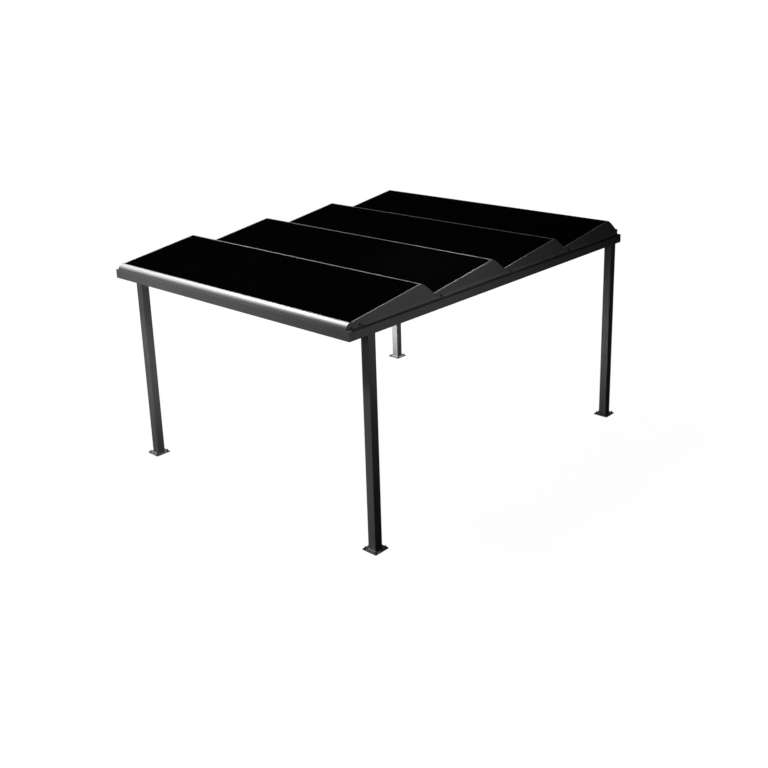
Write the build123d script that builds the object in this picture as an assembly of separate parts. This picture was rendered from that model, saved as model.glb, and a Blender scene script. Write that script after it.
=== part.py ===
from build123d import *
import os
from math import atan, cos, degrees

# Frame: a ring of beams on four posts
frame_width = 3740
frame_depth = 4880
clear_height = 2290
beam_height = 100
beam_wall = 3
side_beam_width = 100
end_beam_width = 42
cap_corner_radius = 2
post_size = 100
post_wall = 4
post_corner_radius = 5
post_bore_radius = 1
front_post_setback = 300
rear_post_setback = 170
base_plate_size = 190
base_plate_thickness = 10
base_plate_corner_radius = 6
anchor_spacing = 144
anchor_hole_diameter = 14

# Rebate along the top outer edge of each side beam, and the black seal in it
rebate_width = 30
rebate_depth = 15
seal_setback = 4
seal_height = 12

# Sawtooth roof: heights are above the beams' top, distances from the frame's front face
tooth_count = 4
roof_inset = 48
rear_margin = 34
valley_height = 64
ridge_height = 207
riser_depth = 207

# Curved back of a tooth: leaves the ridge gently, steepens, and eases into a tail
crest_run = 90
crest_drop = 31
tail_run = 90
tail_rise = 40
tail_length = 80
tail_tip_height = 6
sheet_thickness = 3

# Solar modules
modules_per_tooth = 2
module_thickness = 30
laminate_thickness = 5
module_rim = 3
module_flange_width = 28
module_flange_thickness = 2.5
module_gap = 6
module_tuck = 28
module_end_gap = 1
module_ridge_gap = 4

# Side plates
edge_flange_width = 14
ridge_flange_width = 12
plate_joint = 2
lip_reach = 28
lip_fall = 21
lip_lift = 8
lip_knee = 30
lip_setback = 30
slot_length = 34
slot_width = 10
slot_setback = 10
slot_height = 17
slot_lean = 20

# Front nose and rear kerb
trim_setback = 4
nose_radius = 65
kerb_radius = 15
trim_wall = 3

# Cross rails and gutters under the modules
rail_width = 40
rail_wall = 3
ridge_rail_setback = 24
ridge_rail_height = 50
gutter_width = 75
gutter_front_height = 45
gutter_wall = 2.5
side_clearance = 1

# Worked out from the sizes above
half_width = frame_width / 2
front_face = -frame_depth / 2
rear_face = frame_depth / 2
beam_top = clear_height + beam_height
nose_rear = front_face + trim_setback + nose_radius
front_margin = trim_setback + nose_radius + module_end_gap + module_tuck
tooth_pitch = (frame_depth - front_margin - rear_margin) / tooth_count
roof_slope = (ridge_height - valley_height) / (tooth_pitch - riser_depth)
slope_angle = degrees(atan(roof_slope))
slope_cos = cos(atan(roof_slope))
roof_half_width = half_width - roof_inset
inner_half_width = roof_half_width - sheet_thickness
glass_drop = sheet_thickness / slope_cos
module_drop = (sheet_thickness + module_thickness) / slope_cos
kerb_front = rear_face - end_beam_width


def foot(tooth):
    """Where the back of tooth number `tooth` lands, counted from 0 at the nose."""
    return front_face + front_margin + tooth * tooth_pitch


def ridge(tooth):
    return foot(tooth) - riser_depth


def cover_height(y, tooth):
    """Top of the light edge flanges of a tooth at depth y."""
    return beam_top + valley_height + roof_slope * (y - foot(tooth - 1))


def across(profile, half_span):
    """A profile drawn in the depth and height plane, run across the roof."""
    return plate(profile, -half_span, half_span)


def plate(profile, inner, outer):
    """A profile drawn in the depth and height plane, from x = inner to x = outer."""
    return extrude(Plane.YZ.offset(inner) * profile, outer - inner, dir=(1, 0, 0))


def polygon(*points):
    return make_face(Polyline(*points, close=True))


def back_curve(tooth, shift_y=0, shift_z=0):
    """The curved back of a tooth, from its ridge down to the tip of its tail."""
    start = (ridge(tooth) + shift_y, beam_top + ridge_height + shift_z)
    end = (foot(tooth) + tail_length + shift_y, beam_top + tail_tip_height + shift_z)
    leave = (start[0] + crest_run, start[1] - crest_drop)
    arrive = (end[0] - tail_run, end[1] + tail_rise)
    return Bezier(start, leave, arrive, end)


def under_back(tooth, base, shift_y=0):
    """Everything in front of and under the back of a tooth, down to the height base."""
    curve = back_curve(tooth, shift_y)
    top = curve @ 0
    tip = curve @ 1
    front = top.X - 2 * tooth_pitch
    outline = Polyline((tip.X, tip.Y), (tip.X, base), (front, base), (front, top.Y), (top.X, top.Y))
    return make_face(Wire([curve, *outline.edges()]))


def under_cover(tooth, drop=0):
    """Everything under the plane of a tooth's flanges, lowered by drop."""
    front = foot(tooth - 1) - tooth_pitch
    rear = foot(tooth) + tooth_pitch
    base = beam_top - ridge_height
    return polygon(
        (front, base),
        (rear, base),
        (rear, cover_height(rear, tooth) - drop),
        (front, cover_height(front, tooth) - drop),
    )


def make_base_plate():
    outline = RectangleRounded(base_plate_size, base_plate_size, base_plate_corner_radius)
    holes = GridLocations(anchor_spacing, anchor_spacing, 2, 2) * Circle(anchor_hole_diameter / 2)
    return extrude(outline - holes, base_plate_thickness)


def make_post():
    bore_size = post_size - 2 * post_wall
    outer = RectangleRounded(post_size, post_size, post_corner_radius)
    bore = RectangleRounded(bore_size, bore_size, post_bore_radius)
    return Pos(0, 0, base_plate_thickness) * extrude(outer - bore, clear_height - base_plate_thickness)


def make_end_beam():
    """Front or rear beam: a rectangular tube between the corner caps."""
    span = frame_width - 2 * end_beam_width
    tube = Box(span, end_beam_width, beam_height)
    bore = Box(span, end_beam_width - 2 * beam_wall, beam_height - 2 * beam_wall)
    return Pos(0, 0, clear_height + beam_height / 2) * (tube - bore)


def side_beam_outline(inset):
    """Right side beam's section in the width and height plane, moved inwards by inset."""
    outer = half_width - inset
    inner = half_width - side_beam_width + inset
    low = clear_height + inset
    high = beam_top - inset
    return polygon(
        (outer, low),
        (outer, high - rebate_depth),
        (outer - rebate_width, high - rebate_depth),
        (outer - rebate_width, high),
        (inner, high),
        (inner, low),
    )


def make_right_beam():
    section = side_beam_outline(0) - side_beam_outline(beam_wall)
    length = frame_depth - 2 * end_beam_width
    return extrude(Plane.XZ.offset(length / 2) * section, length, dir=(0, 1, 0))


def make_corner_caps():
    block = Box(end_beam_width, end_beam_width, beam_height)
    outer_edge = block.edges().filter_by(Axis.Z).sort_by_distance((half_width, half_width, 0))[0]
    block = fillet(outer_edge, cap_corner_radius)
    places = []
    for turn, x_sign, y_sign in ((0, 1, 1), (90, -1, 1), (180, -1, -1), (270, 1, -1)):
        x = x_sign * (half_width - end_beam_width / 2)
        y = y_sign * (frame_depth / 2 - end_beam_width / 2)
        places.append(Location((x, y, clear_height + beam_height / 2), (0, 0, turn)))
    return Compound(children=[place * block for place in places])


def make_right_seal():
    outer = half_width - seal_setback
    inner = half_width - rebate_width
    low = beam_top - rebate_depth
    section = polygon((outer, low), (inner, low), (inner, low + seal_height), (outer, low + seal_height))
    length = frame_depth - 2 * end_beam_width
    return extrude(Plane.XZ.offset(length / 2) * section, length, dir=(0, 1, 0))


def nose_outline(inset):
    """Quarter-round nose over the front beam, moved inwards by inset."""
    front = nose_rear - nose_radius
    low = beam_top + inset
    disc = Pos(nose_rear, beam_top) * Circle(nose_radius - inset)
    return disc & polygon(
        (front, low),
        (nose_rear - inset, low),
        (nose_rear - inset, low + nose_radius),
        (front, low + nose_radius),
    )


def make_front_nose():
    return across(nose_outline(0) - nose_outline(trim_wall), inner_half_width)


def lip_section(y, lift):
    """Slanted strip from the plate's outer face down and out to the lip's toe."""
    root = beam_top + lift + lip_fall
    toe = beam_top + lift
    strip = polygon(
        (roof_half_width, root),
        (roof_half_width, root + sheet_thickness),
        (roof_half_width + lip_reach, toe + sheet_thickness),
        (roof_half_width + lip_reach, toe),
    )
    return Plane.XZ.offset(-y) * strip


def make_lip(start_y, knee_y, end_y):
    """Flared drip lip of a side plate: it rises gently to a knee and falls to the tail."""
    rise = Vector(0, knee_y - start_y, lip_lift)
    fall = Vector(0, end_y - knee_y, -lip_lift)
    rising = extrude(lip_section(start_y, 0), rise.length, dir=rise)
    return rising + extrude(lip_section(knee_y, lip_lift), fall.length, dir=fall)


def behind(y):
    """Everything behind depth y, as high as the roof needs."""
    low = clear_height
    high = beam_top + 2 * ridge_height
    return polygon((y, low), (y + frame_depth, low), (y + frame_depth, high), (y, high))


def tooth_slab(tooth, inner, outer):
    """Side outline of a tooth from x = inner to x = outer, between its own back and the one before."""
    slab = plate(under_back(tooth, beam_top), inner, outer)
    slab &= plate(under_cover(tooth), inner, outer)
    if tooth > 0:
        slab -= plate(under_back(tooth - 1, clear_height, plate_joint), inner, outer)
    if tooth == tooth_count:
        slab -= plate(behind(kerb_front), inner, outer)
    return slab


def make_nose_end():
    """Right end of the nose: a quarter-round cheek with the first tail and its lip on its rear."""
    toe = roof_half_width + lip_reach
    tail = plate(under_back(0, beam_top), inner_half_width, roof_half_width)
    tail &= plate(under_cover(1), inner_half_width, roof_half_width)
    tail &= plate(behind(nose_rear), inner_half_width, roof_half_width)
    knee = foot(0) - lip_knee
    lip = make_lip(knee - lip_knee, knee, foot(0) + tail_length)
    lip &= plate(under_back(0, beam_top), roof_half_width, toe)
    lip &= plate(behind(nose_rear), roof_half_width, toe)
    return plate(nose_outline(0), inner_half_width, roof_half_width) + tail + lip


def make_right_side(tooth):
    """Right side plate of one tooth, counted from 1 at the front."""
    toe = roof_half_width + lip_reach
    flange_inner = roof_half_width - edge_flange_width
    side = tooth_slab(tooth, inner_half_width, roof_half_width)
    flange = tooth_slab(tooth, flange_inner, roof_half_width)
    flange -= plate(under_cover(tooth, glass_drop), flange_inner, roof_half_width)
    flange -= plate(behind(ridge(tooth) - ridge_flange_width), flange_inner, roof_half_width)
    start = foot(tooth - 1) + tail_length + plate_joint
    lip = make_lip(start + lip_setback, foot(tooth) - lip_knee, foot(tooth) + tail_length)
    lip &= tooth_slab(tooth, roof_half_width, toe)
    slot = Pos(start + slot_setback, beam_top + slot_height) * Rot(0, 0, 90 + slot_lean)
    slot_cut = plate(slot * SlotOverall(slot_length, slot_width), inner_half_width, toe)
    return side + flange + lip - slot_cut


def make_riser(tooth):
    """Curved sheet that closes the back of one tooth, with a flange along the ridge."""
    sheet_drop = sheet_thickness / cos(atan((crest_drop + tail_rise) / (crest_run / 2 + tail_run / 2)))
    top = back_curve(tooth)
    low = back_curve(tooth, 0, -sheet_drop)
    ends = [Line(top @ 0, low @ 0), Line(top @ 1, low @ 1)]
    sheet = make_face(Wire([top, low, *ends]))
    sheet -= under_cover(tooth + 1, glass_drop)
    front = ridge(tooth) - ridge_flange_width
    flange = polygon(
        (front, cover_height(front, tooth)),
        (ridge(tooth), cover_height(ridge(tooth), tooth)),
        (ridge(tooth), cover_height(ridge(tooth), tooth) - glass_drop),
        (front, cover_height(front, tooth) - glass_drop),
    )
    return across(sheet + flange, inner_half_width)


def make_module(tooth, column):
    """One framed solar module, tilted with its tooth: laminate, rim and inward flange."""
    row_width = 2 * (inner_half_width - side_clearance)
    width = (row_width - (modules_per_tooth - 1) * module_gap) / modules_per_tooth
    front = foot(tooth - 1) - module_tuck
    rear = ridge(tooth) - module_ridge_gap
    length = (rear - front) / slope_cos
    body = Pos(0, length / 2, -module_thickness / 2) * Box(width, length, module_thickness)
    pocket_depth = module_thickness - laminate_thickness - module_flange_thickness
    pocket = Pos(0, length / 2, -laminate_thickness - pocket_depth / 2) * Box(
        width - 2 * module_rim, length - 2 * module_rim, pocket_depth
    )
    mouth = Pos(0, length / 2, -module_thickness + module_flange_thickness / 2) * Box(
        width - 2 * module_flange_width, length - 2 * module_flange_width, module_flange_thickness
    )
    x = -row_width / 2 + width / 2 + column * (width + module_gap)
    place = Location((x, front, cover_height(front, tooth) - glass_drop), (slope_angle, 0, 0))
    return place * (body - pocket - mouth)


def sloped_box(y, width, base, tooth, inset):
    """Rail section whose top follows the modules' underside, moved inwards by inset."""
    front = y + inset
    rear = y + width - inset
    low = base + inset
    return polygon(
        (front, low),
        (rear, low),
        (rear, cover_height(rear, tooth) - module_drop - inset),
        (front, cover_height(front, tooth) - module_drop - inset),
    )


def valley_rail_section(tooth):
    front = foot(tooth) - rail_width / 2
    outer = sloped_box(front, rail_width, beam_top, tooth + 1, 0)
    return outer - sloped_box(front, rail_width, beam_top, tooth + 1, rail_wall)


def make_front_rail():
    return across(valley_rail_section(0), inner_half_width)


def make_gutter(tooth):
    """Gutter under the valley behind one tooth, in one extrusion with its module rail."""
    rear = foot(tooth) - rail_width / 2
    front = rear - gutter_width
    channel = polygon(
        (front, beam_top),
        (rear, beam_top),
        (rear, beam_top + gutter_wall),
        (front + gutter_wall, beam_top + gutter_wall),
        (front + gutter_wall, beam_top + gutter_front_height),
        (front, beam_top + gutter_front_height),
    )
    return across(channel + valley_rail_section(tooth), inner_half_width)


def make_ridge_rail(tooth):
    front = ridge(tooth) - ridge_rail_setback - rail_width
    base = cover_height(front, tooth) - module_drop - ridge_rail_height
    outer = sloped_box(front, rail_width, base, tooth, 0)
    return across(outer - sloped_box(front, rail_width, base, tooth, rail_wall), inner_half_width)


def make_rear_kerb():
    """Kerb over the rear beam that takes the foot of the last riser."""
    rear = rear_face - trim_setback
    tooth = tooth_count + 1

    def section(inset):
        top_front = cover_height(kerb_front, tooth) - glass_drop - inset
        top_rear = cover_height(rear, tooth) - glass_drop - inset
        return polygon(
            (kerb_front + inset, beam_top + inset),
            (rear - inset, beam_top + inset),
            (rear - inset, top_rear),
            (kerb_front + inset, top_front),
        )

    outer = section(0)
    outer = fillet(outer.vertices().sort_by_distance((rear, beam_top + ridge_height))[0], kerb_radius)
    inner = section(trim_wall)
    inner = fillet(
        inner.vertices().sort_by_distance((rear, beam_top + ridge_height))[0], kerb_radius - trim_wall
    )
    return across(outer - inner, roof_half_width)


def write(name, shape):
    export_step(shape, f"parts/{name}.step")


def write_pair(name, right):
    """Writes a right-hand piece and its mirror image on the left."""
    write(f"right_{name}", right)
    write(f"left_{name}", mirror(right, Plane.YZ))


os.makedirs("parts", exist_ok=True)

post_x = half_width - post_size / 2
for depth_name, post_y in (("front", front_face + front_post_setback), ("rear", rear_face - rear_post_setback)):
    for side_name, side in (("left", -1), ("right", 1)):
        place = Pos(side * post_x, post_y, 0)
        write(f"base_plate_{depth_name}_{side_name}", place * make_base_plate())
        write(f"post_{depth_name}_{side_name}", place * make_post())

end_beam_y = frame_depth / 2 - end_beam_width / 2
write("front_beam", Pos(0, -end_beam_y, 0) * make_end_beam())
write("rear_beam", Pos(0, end_beam_y, 0) * make_end_beam())
write_pair("beam", make_right_beam())
write("corner_caps", make_corner_caps())
write_pair("seal", make_right_seal())

write("front_nose", make_front_nose())
write_pair("nose_end", make_nose_end())
write("rear_kerb", make_rear_kerb())
write("front_rail", make_front_rail())

ridge_rails = []
for tooth in range(1, tooth_count + 1):
    write_pair(f"side_plate_{tooth}", make_right_side(tooth))
    write(f"riser_{tooth}", make_riser(tooth))
    ridge_rails.append(make_ridge_rail(tooth))
    for column in range(modules_per_tooth):
        write(f"solar_module_{tooth}_{'ab'[column]}", make_module(tooth, column))
    if tooth < tooth_count:
        write(f"valley_gutter_{tooth}", make_gutter(tooth))
write("ridge_rails", Compound(children=ridge_rails))
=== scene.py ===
# %% [markdown]
# A solar carport, dressed around its engineering model. The model already holds every post, beam, side
# plate and solar module at its real size. This lesson gives each of them a finish, adds the small things
# that a model made of solids leaves out, and lights the whole like a clean product picture on a white
# ground.

# %% Load the frame
import bpy
import bmesh
import math
from mathutils import Matrix, Vector


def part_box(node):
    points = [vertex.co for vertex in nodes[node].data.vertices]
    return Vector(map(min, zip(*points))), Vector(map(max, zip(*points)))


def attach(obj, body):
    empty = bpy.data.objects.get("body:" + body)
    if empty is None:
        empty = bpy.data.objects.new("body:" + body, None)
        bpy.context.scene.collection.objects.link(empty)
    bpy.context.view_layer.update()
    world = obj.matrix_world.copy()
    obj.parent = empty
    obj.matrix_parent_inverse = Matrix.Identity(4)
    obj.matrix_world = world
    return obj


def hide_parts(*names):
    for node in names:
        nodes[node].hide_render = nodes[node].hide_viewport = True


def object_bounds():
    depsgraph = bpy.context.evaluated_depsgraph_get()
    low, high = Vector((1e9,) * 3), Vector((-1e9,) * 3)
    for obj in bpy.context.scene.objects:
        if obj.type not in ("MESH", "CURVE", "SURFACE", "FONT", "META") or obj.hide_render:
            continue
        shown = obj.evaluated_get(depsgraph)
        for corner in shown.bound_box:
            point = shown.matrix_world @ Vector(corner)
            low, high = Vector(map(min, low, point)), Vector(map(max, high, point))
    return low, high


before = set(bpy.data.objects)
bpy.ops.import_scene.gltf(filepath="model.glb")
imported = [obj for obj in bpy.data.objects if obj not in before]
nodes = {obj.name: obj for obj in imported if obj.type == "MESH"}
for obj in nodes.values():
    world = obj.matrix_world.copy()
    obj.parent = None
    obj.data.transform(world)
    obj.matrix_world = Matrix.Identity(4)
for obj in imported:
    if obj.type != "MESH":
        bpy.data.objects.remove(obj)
cad_low, cad_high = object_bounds()
print("nodes:", len(nodes), "size in metres:", [round(b - a, 3) for a, b in zip(cad_low, cad_high)])

# %% [markdown]
# Everything is in metres, so one millimetre gets a name. So does the small bite by which a new piece
# sinks into what carries it, because light would show through the smallest gap. Nodes are looked up by
# the first part of their name: the engineering model numbers its teeth and names its corners, and a list
# that is read from it stays right when a tooth is added there.

# %% Units and lists of nodes
mm = 0.001
bite = 0.2 * mm


def named(start):
    return sorted(name for name in nodes if name.startswith(start))


module_names = named("solar_module_")
row_starts = module_names[0::2]
row_ends = module_names[1::2]
plate_names = named("base_plate_")
post_names = named("post_")
print("modules:", len(module_names), "rows:", len(row_starts), "posts:", len(post_names))

# %% [markdown]
# Every new piece is drawn as a bmesh, and one helper turns it into an object that rides on the carport.
# It merges doubled points, turns all faces outwards and marks sharp edges by their angle, so that round
# parts shade smoothly and flat ones stay crisp. A modifier could do the same. Marks in the mesh are
# simpler, because they stay with the mesh itself.

# %% Finish a piece
sharp_degrees = 35


def finish_piece(name, work, material):
    bmesh.ops.remove_doubles(work, verts=work.verts, dist=0.01 * mm)
    bmesh.ops.recalc_face_normals(work, faces=work.faces)
    mesh = bpy.data.meshes.new(name)
    work.to_mesh(mesh)
    work.free()
    mesh.shade_smooth()
    mesh.set_sharp_from_angle(angle=math.radians(sharp_degrees))
    mesh.materials.append(material)
    piece = bpy.data.objects.new(name, mesh)
    bpy.context.scene.collection.objects.link(piece)
    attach(piece, "root")
    return piece


print("edges are sharp above", sharp_degrees, "degrees")

# %% [markdown]
# Most small parts start as a block and get their edges rounded, because a real edge always catches a thin
# line of light. These helpers make the block between two opposite corners, find the edges and points of a
# result, and bevel. In a script, a bevel's defaults differ from the editor's, so all its values are
# given.

# %% Helpers for blocks and edges
def add_block(work, corner, opposite):
    middle = [(a + b) / 2 for a, b in zip(corner, opposite)]
    size = [abs(b - a) for a, b in zip(corner, opposite)]
    place = Matrix.Translation(middle) @ Matrix.Diagonal((*size, 1))
    return bmesh.ops.create_cube(work, size=1, matrix=place)["verts"]


def edges_of(verts):
    return list({edge for vert in verts for edge in vert.link_edges})


def only_points(items):
    return [item for item in items if isinstance(item, bmesh.types.BMVert)]


def round_edges(work, edges, radius, segments=2):
    return bmesh.ops.bevel(
        work, geom=edges, offset=radius, segments=segments, profile=0.5, affect="EDGES", material=-1
    )


# %% [markdown]
# Two more helpers make rings and turned parts. An inset from the open rim of a sheet leaves a ring of
# faces round a middle that can be deleted. A spin works like a lathe: it turns a profile of radius and
# height once round an axis, and a full turn merges its last points with the first ones.

# %% Helpers for rings and turned parts
def inset_ring(work, width):
    return bmesh.ops.inset_region(
        work, faces=work.faces[:], thickness=width, use_boundary=True, use_even_offset=True
    )["faces"]


def spin_profile(work, points, place, steps):
    verts = [work.verts.new(place @ Vector((radius, 0, height))) for radius, height in points]
    edges = [work.edges.new(pair) for pair in zip(verts, verts[1:])]
    bmesh.ops.spin(
        work, geom=[*verts, *edges], cent=place.translation, axis=place.to_3x3() @ Vector((0, 0, 1)),
        angle=math.tau, steps=steps, use_merge=True, use_duplicate=False,
    )


# %% [markdown]
# Materials next. Each one is a small tree of nodes, and its helpers keep the trees readable: one adds a
# node with its values, one does a sum, one blends two colours by a mask, and one gives a noise that is
# fixed to the object, so that it can't slide over the part.

# %% Helpers for materials
def new_material(name):
    material = bpy.data.materials.new(name)
    material.use_nodes = True
    return material, material.node_tree, material.node_tree.nodes["Principled BSDF"]


def add_node(tree, kind, settings=(), **values):
    node = tree.nodes.new(kind)
    for key, value in dict(settings).items():
        setattr(node, key, value)
    for key, value in values.items():
        node.inputs[key.replace("_", " ")].default_value = value
    return node


def calculate(tree, operation, first, second=None, third=None):
    node = add_node(tree, "ShaderNodeMath", {"operation": operation})
    for socket, value in zip(node.inputs, (first, second, third)):
        if isinstance(value, (int, float)):
            socket.default_value = value
        elif value is not None:
            tree.links.new(value, socket)
    return node.outputs[0]


def blend_colours(tree, mask, first, second):
    node = add_node(tree, "ShaderNodeMix", {"data_type": "RGBA"})
    tree.links.new(mask, node.inputs["Factor"])
    for socket, value in ((node.inputs[6], first), (node.inputs[7], second)):
        if isinstance(value, tuple):
            socket.default_value = (*value, 1)
        else:
            tree.links.new(value, socket)
    return node.outputs[2]


def noise(tree, scale, detail=2.0, stretch=(1, 1, 1)):
    place = add_node(tree, "ShaderNodeTexCoord")
    mapping = add_node(tree, "ShaderNodeMapping", Scale=stretch)
    texture = add_node(tree, "ShaderNodeTexNoise", Scale=scale, Detail=detail)
    tree.links.new(place.outputs["Object"], mapping.inputs["Vector"])
    tree.links.new(mapping.outputs[0], texture.inputs["Vector"])
    return texture.outputs["Fac"]


# %% [markdown]
# A finish is never one flat colour. A powder coat cures with a fine orange-peel relief that breaks up
# reflections, and its tone and gloss wander a little over a long bar. Several finishes here are coats, so
# the effect is one node group, built once, that gives out a colour, a roughness and a height. The same
# nodes could be copied into each material, but then a change would have to be made in all of them.

# %% The coat group
def new_group(name, inputs, outputs):
    group = bpy.data.node_groups.new(name, "ShaderNodeTree")
    for label, value in inputs.items():
        kind = "NodeSocketColor" if isinstance(value, tuple) else "NodeSocketFloat"
        socket = group.interface.new_socket(label, in_out="INPUT", socket_type=kind)
        socket.default_value = (*value, 1) if isinstance(value, tuple) else value
    for label, kind in outputs.items():
        group.interface.new_socket(label, in_out="OUTPUT", socket_type=kind)
    return group, add_node(group, "NodeGroupInput"), add_node(group, "NodeGroupOutput")


def make_coat_group():
    group, given, out = new_group(
        "coat_film",
        {"Tone": (0.1, 0.1, 0.1), "Drift": 0.1, "Gloss": 0.4, "Gloss Drift": 0.08},
        {"Color": "NodeSocketColor", "Roughness": "NodeSocketFloat", "Peel": "NodeSocketFloat"},
    )
    wide = calculate(group, "SUBTRACT", noise(group, scale=1.6, detail=4.0), 0.5)
    shade = calculate(group, "MULTIPLY_ADD", wide, given.outputs["Drift"], 1.0)
    tint = add_node(group, "ShaderNodeVectorMath", {"operation": "SCALE"})
    group.links.new(given.outputs["Tone"], tint.inputs[0])
    group.links.new(shade, tint.inputs["Scale"])
    group.links.new(tint.outputs[0], out.inputs["Color"])
    patch = calculate(group, "SUBTRACT", noise(group, scale=9.0, detail=3.0), 0.5)
    gloss = calculate(group, "MULTIPLY_ADD", patch, given.outputs["Gloss Drift"], given.outputs["Gloss"])
    group.links.new(gloss, out.inputs["Roughness"])
    group.links.new(noise(group, scale=380.0, detail=1.0), out.inputs["Peel"])
    return group


coat_film = make_coat_group()
print("coat group sockets:", [item.name for item in coat_film.interface.items_tree])

# %% [markdown]
# Coats and metals wear where cloths and straps rub: on the outer edges. A Bevel node gives the normal
# that a rounded edge would have. Where it leaves the true normal, there is an edge, and a noise breaks
# the mask up so that the wear comes and goes. Painting such a mask by hand would tie it to one shape.
# This one fits any.

# %% The edge wear group
def make_wear_group():
    group, given, out = new_group(
        "edge_wear", {"Amount": 0.5, "Reach": 1.5 * mm}, {"Mask": "NodeSocketFloat"}
    )
    rounded = add_node(group, "ShaderNodeBevel", {"samples": 4})
    group.links.new(given.outputs["Reach"], rounded.inputs["Radius"])
    true_normal = add_node(group, "ShaderNodeNewGeometry")
    match = add_node(group, "ShaderNodeVectorMath", {"operation": "DOT_PRODUCT"})
    group.links.new(rounded.outputs[0], match.inputs[0])
    group.links.new(true_normal.outputs["Normal"], match.inputs[1])
    edge = calculate(group, "SUBTRACT", 1.0, match.outputs["Value"])
    broken = calculate(group, "MULTIPLY", edge, noise(group, scale=35.0, detail=4.0))
    strength = calculate(group, "MULTIPLY", broken, 6.0)
    mask = calculate(group, "MULTIPLY", strength, given.outputs["Amount"])
    group.links.new(calculate(group, "MINIMUM", mask, 1.0), out.inputs["Mask"])
    return group


edge_wear = make_wear_group()
print("edge wear sockets:", [item.name for item in edge_wear.interface.items_tree])

# %% [markdown]
# Rain leaves the other mark, a thin dust film that dries on the faces that look up. So its mask is the
# upward part of the normal times a blotchy noise.

# %% The dust group
def make_dust_group():
    group, given, out = new_group(
        "dust_film", {"Amount": 0.1, "Blotch": 3.0}, {"Mask": "NodeSocketFloat"}
    )
    surface = add_node(group, "ShaderNodeNewGeometry")
    split = add_node(group, "ShaderNodeSeparateXYZ")
    group.links.new(surface.outputs["Normal"], split.inputs[0])
    upward = calculate(group, "MAXIMUM", split.outputs["Z"], 0.0)
    place = add_node(group, "ShaderNodeTexCoord")
    texture = add_node(group, "ShaderNodeTexNoise", Detail=6.0, Roughness=0.62)
    group.links.new(place.outputs["Object"], texture.inputs["Vector"])
    group.links.new(given.outputs["Blotch"], texture.inputs["Scale"])
    spread = calculate(group, "MULTIPLY", upward, texture.outputs["Fac"])
    group.links.new(calculate(group, "MULTIPLY", spread, given.outputs["Amount"]), out.inputs["Mask"])
    return group


dust_film = make_dust_group()
print("groups:", [group.name for group in bpy.data.node_groups])

# %% [markdown]
# One function now makes every coated or metal finish from the three groups. Its numbers are what a paint
# shop would name: tone, gloss, how strong the orange peel is, how much the edges are worn and how dusty
# it is. The specular level and the metallic value are the same all over, so they are set on the shader's
# own sockets.

# %% The finish maker
dust_tone = (0.30, 0.29, 0.27)
dust_dulling = 0.5
peel_height = 0.3 * mm


def place_group(tree, group, **values):
    return add_node(tree, "ShaderNodeGroup", {"node_tree": group}, **values)


def make_finish(name, tone, gloss, peel, wear, worn_tone, dust, drift=0.12, metallic=0.0, specular=0.5):
    material, tree, shader = new_material(name)
    film = place_group(tree, coat_film, Tone=(*tone, 1), Gloss=gloss, Drift=drift)
    edges = place_group(tree, edge_wear, Amount=wear)
    settled = place_group(tree, dust_film, Amount=dust)
    colour = blend_colours(tree, edges.outputs["Mask"], film.outputs["Color"], worn_tone)
    colour = blend_colours(tree, settled.outputs["Mask"], colour, dust_tone)
    tree.links.new(colour, shader.inputs["Base Color"])
    dulled = calculate(
        tree, "MULTIPLY_ADD", settled.outputs["Mask"], dust_dulling, film.outputs["Roughness"]
    )
    tree.links.new(dulled, shader.inputs["Roughness"])
    relief = add_node(tree, "ShaderNodeBump", Strength=peel, Distance=peel_height)
    tree.links.new(film.outputs["Peel"], relief.inputs["Height"])
    tree.links.new(relief.outputs[0], shader.inputs["Normal"])
    shader.inputs["Metallic"].default_value = metallic
    shader.inputs["Specular IOR Level"].default_value = specular
    return material


print("a finish is made of:", [group.name for group in (coat_film, edge_wear, dust_film)])

# %% [markdown]
# Posts, beams and plates wear one anthracite coat. The nose is drawn smoother, so it is a little
# glossier. The base plates stand in splash water and are duller, dustier and more worn. The anchors and
# the cleats are metal under their thin coats, so their metallic value is above zero.

# %% Coats and plated metal
anthracite = make_finish(
    "anthracite_coat", tone=(0.085, 0.086, 0.088), gloss=0.40, peel=0.12,
    wear=0.35, worn_tone=(0.17, 0.17, 0.17), dust=0.03,
)
nose_coat = make_finish(
    "nose_coat", tone=(0.073, 0.074, 0.076), gloss=0.36, peel=0.08,
    wear=0.25, worn_tone=(0.2, 0.2, 0.2), dust=0.02,
)
foot_coat = make_finish(
    "foot_coat", tone=(0.075, 0.081, 0.077), gloss=0.42, peel=0.15,
    wear=0.8, worn_tone=(0.24, 0.26, 0.24), dust=0.10,
)
bolt_coat = make_finish(
    "bolt_coat", tone=(0.05, 0.052, 0.055), gloss=0.42, peel=0.2,
    wear=0.5, worn_tone=(0.16, 0.16, 0.165), dust=0.05, metallic=0.6,
)
zinc = make_finish(
    "zinc_plating", tone=(0.50, 0.51, 0.52), gloss=0.36, peel=0.2,
    wear=0.3, worn_tone=(0.65, 0.65, 0.66), dust=0.05, metallic=1.0,
)
print("coats:", [finish.name for finish in (anthracite, nose_coat, foot_coat, bolt_coat, zinc)])

# %% [markdown]
# The module frames and the rubber between them are part of the big black face, so they are as black as
# the glass and give no gloss: a grey line would cut the face in two. The long seal over the beam is plain
# dull rubber. The backsheet and the junction boxes are only seen from under the roof.

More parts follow.
